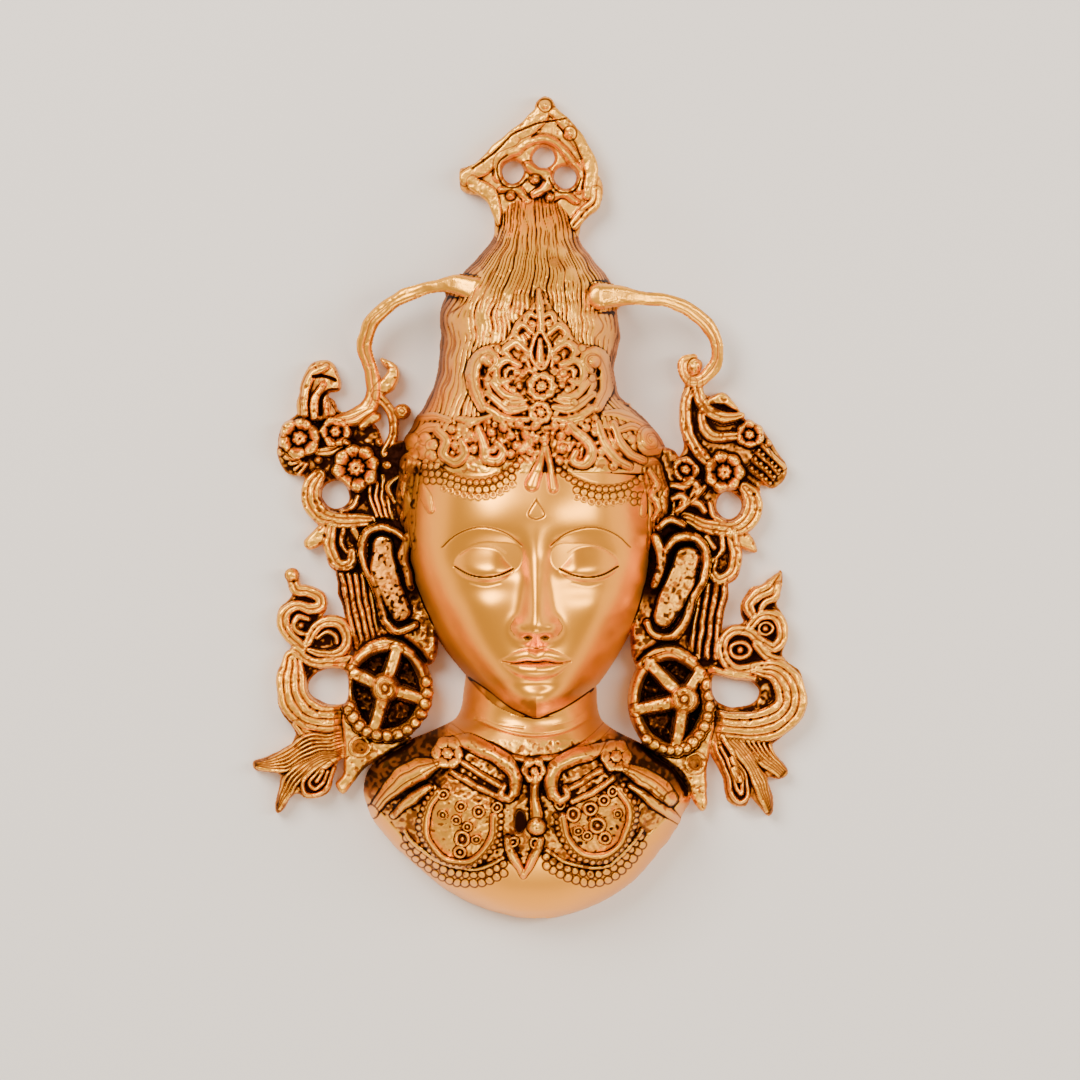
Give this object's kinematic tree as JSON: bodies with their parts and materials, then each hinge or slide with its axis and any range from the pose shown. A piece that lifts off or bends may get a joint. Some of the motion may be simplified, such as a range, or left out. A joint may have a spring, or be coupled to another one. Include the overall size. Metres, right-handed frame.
{
  "type": "brass deity mask",
  "caption": "Hollow cast brass deity mask with a crowned head, tall hair, pierced hanging plate, scrolled side ornaments and a jewelled bust.",
  "frame": {"origin": "middle of the mask's outline, on the plane that its back rim lies on", "axes": "+Z out of the face, +Y to the hanging plate at the top of the head, +X to the right of someone looking at the face"},
  "size_m": [0.2205, 0.3279, 0.0709],
  "materials": {
    "brass": "polished face over dark patina in the recesses"
  },
  "bodies": {
    "root": {"mask": "brass"}
  },
  "joints": []
}
